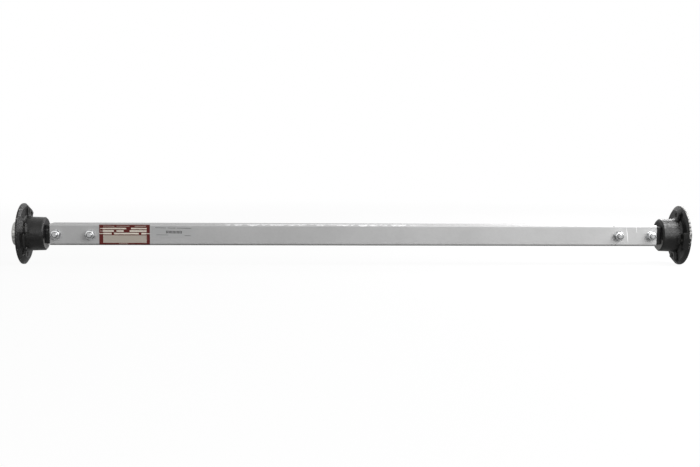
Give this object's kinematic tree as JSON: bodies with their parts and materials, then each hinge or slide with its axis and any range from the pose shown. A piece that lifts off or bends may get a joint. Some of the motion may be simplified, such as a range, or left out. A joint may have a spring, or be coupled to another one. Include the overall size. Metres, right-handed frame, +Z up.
{
  "type": "trailer axle",
  "caption": "Straight square-tube trailer axle with bolted stub axles and flanged wheel hubs that turn on taper roller bearings.",
  "frame": {"origin": "centre of the tube, midway between the hubs", "axes": "+X along the axle to the right-hand hub, -Y towards the side with the labels, +Z up"},
  "size_m": [1.6152, 0.143, 0.143],
  "materials": {
    "galvanised_steel": "hot-dip galvanised, satin",
    "black_paint": "satin black paint over casting",
    "black_steel": "black, smooth",
    "zinc_plate": "bright zinc plate",
    "cap_plate": "zinc-plated pressing",
    "bearing_steel": "ground",
    "cage_steel": "pressed",
    "seal_rubber": "moulded",
    "label_print": "printed film",
    "label_pale": "printed film"
  },
  "bodies": {
    "axle": {"axle_tube": "galvanised_steel", "rating_label": "label_print", "info_label": "label_pale", "left_stub_axle": "black_steel", "left_stub_bolts": "zinc_plate", "left_bolt_nuts": "zinc_plate", "left_bolt_washers": "zinc_plate", "left_spindle_washer": "bearing_steel", "left_castle_nut": "zinc_plate", "left_split_pin": "zinc_plate", "left_inner_bearing_cone": "bearing_steel", "left_outer_bearing_cone": "bearing_steel", "right_stub_axle": "black_steel", "right_stub_bolts": "zinc_plate", "right_bolt_nuts": "zinc_plate", "right_bolt_washers": "zinc_plate", "right_spindle_washer": "bearing_steel", "right_castle_nut": "zinc_plate", "right_split_pin": "zinc_plate", "right_inner_bearing_cone": "bearing_steel", "right_outer_bearing_cone": "bearing_steel"},
    "left_wheel_hub": {"left_hub": "black_paint", "left_inner_bearing_cup": "bearing_steel", "left_outer_bearing_cup": "bearing_steel", "left_oil_seal": "seal_rubber", "left_grease_cap": "cap_plate"},
    "right_wheel_hub": {"right_hub": "black_paint", "right_inner_bearing_cup": "bearing_steel", "right_outer_bearing_cup": "bearing_steel", "right_oil_seal": "seal_rubber", "right_grease_cap": "cap_plate"},
    "left_inner_cage": {"left_inner_bearing_cage": "cage_steel", "left_inner_bearing_rollers": "bearing_steel"},
    "left_outer_cage": {"left_outer_bearing_cage": "cage_steel", "left_outer_bearing_rollers": "bearing_steel"},
    "right_inner_cage": {"right_inner_bearing_cage": "cage_steel", "right_inner_bearing_rollers": "bearing_steel"},
    "right_outer_cage": {"right_outer_bearing_cage": "cage_steel", "right_outer_bearing_rollers": "bearing_steel"}
  },
  "joints": [
    {"name": "left_hub_spin", "type": "hinge", "parent": "axle", "child": "left_wheel_hub", "pos_m": [-0.76, 0, 0], "axis": [1, 0, 0], "continuous": true},
    {"name": "right_hub_spin", "type": "hinge", "parent": "axle", "child": "right_wheel_hub", "pos_m": [0.76, 0, 0], "axis": [1, 0, 0], "continuous": true},
    {"name": "left_inner_cage_roll", "type": "hinge", "parent": "axle", "child": "left_inner_cage", "pos_m": [-0.7496, 0, 0], "axis": [1, 0, 0], "continuous": true},
    {"name": "left_outer_cage_roll", "type": "hinge", "parent": "axle", "child": "left_outer_cage", "pos_m": [-0.7747, 0, 0], "axis": [1, 0, 0], "continuous": true},
    {"name": "right_inner_cage_roll", "type": "hinge", "parent": "axle", "child": "right_inner_cage", "pos_m": [0.7496, 0, 0], "axis": [1, 0, 0], "continuous": true},
    {"name": "right_outer_cage_roll", "type": "hinge", "parent": "axle", "child": "right_outer_cage", "pos_m": [0.7747, 0, 0], "axis": [1, 0, 0], "continuous": true}
  ],
  "couplings": [
    {"joint": "left_inner_cage_roll", "follows": "left_hub_spin", "ratio": 0.58165},
    {"joint": "left_outer_cage_roll", "follows": "left_hub_spin", "ratio": 0.58232},
    {"joint": "right_inner_cage_roll", "follows": "right_hub_spin", "ratio": 0.58165},
    {"joint": "right_outer_cage_roll", "follows": "right_hub_spin", "ratio": 0.58232}
  ]
}
